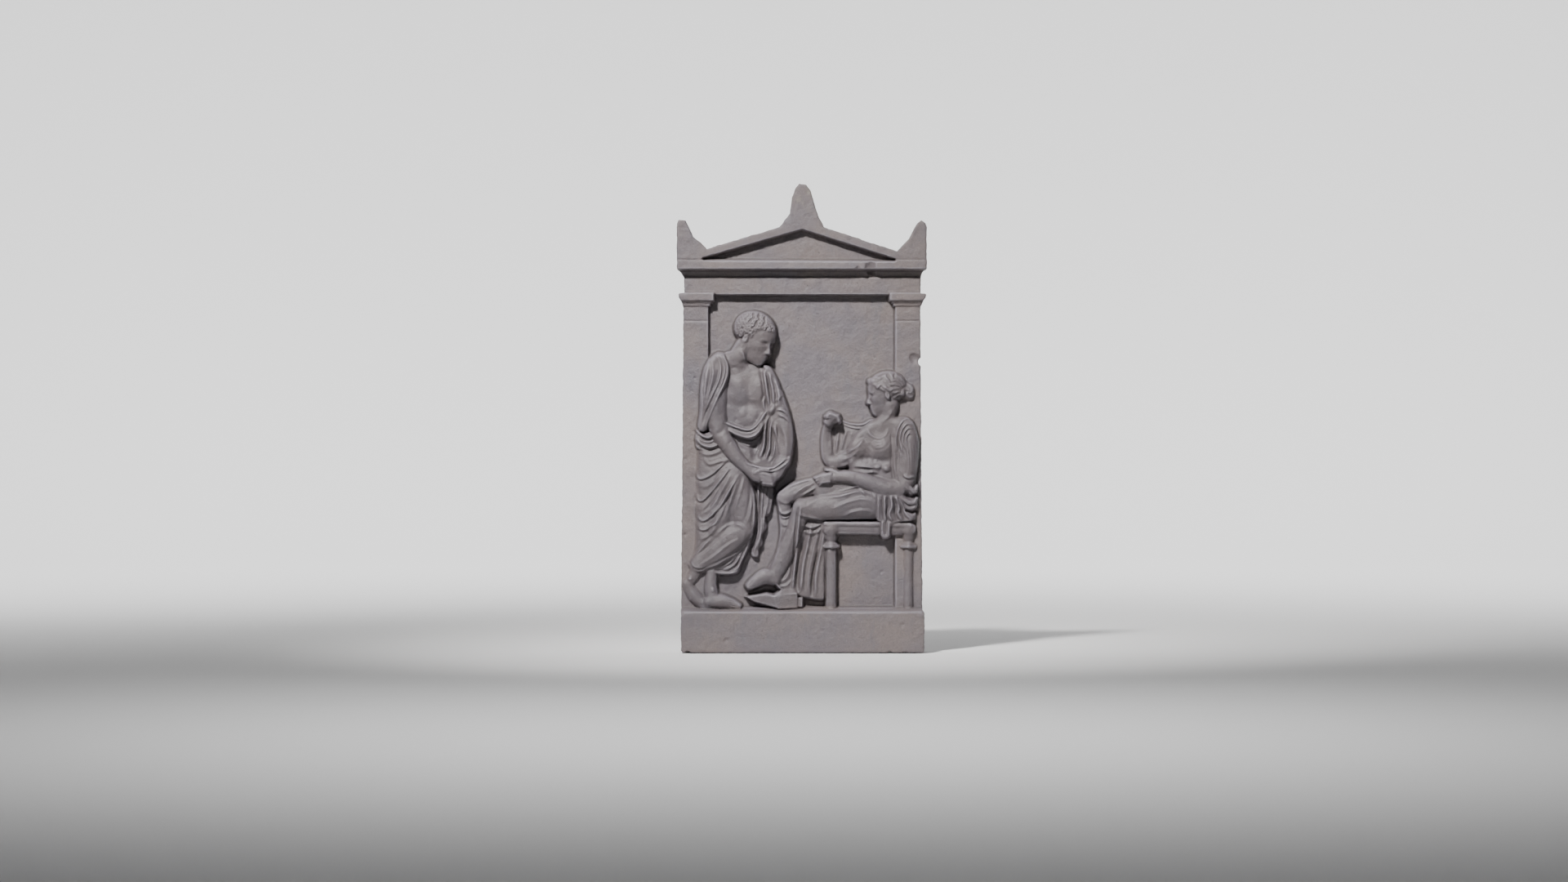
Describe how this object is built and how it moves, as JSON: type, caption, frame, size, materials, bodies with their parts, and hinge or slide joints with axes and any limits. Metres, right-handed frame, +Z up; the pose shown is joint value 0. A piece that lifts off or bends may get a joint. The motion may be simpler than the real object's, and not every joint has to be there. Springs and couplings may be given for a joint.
{
  "type": "marble relief plaque",
  "caption": "Marble wall relief in temple-front form: a draped standing figure and a seated figure on a stool, framed by pilasters, beam, cornice and gable.",
  "frame": {"origin": "middle of the flat back face, where the plaque meets the wall", "axes": "+Y into the wall along the back face's normal, +Z up, +X to the right as seen from the carved front"},
  "size_m": [0.496, 0.0936, 0.934],
  "materials": {
    "marble": "weathered marble, mauve grey brown, with dirt in the hollows and pale worn ridges"
  },
  "bodies": {
    "root": {"relief_plaque": "marble"}
  },
  "joints": []
}
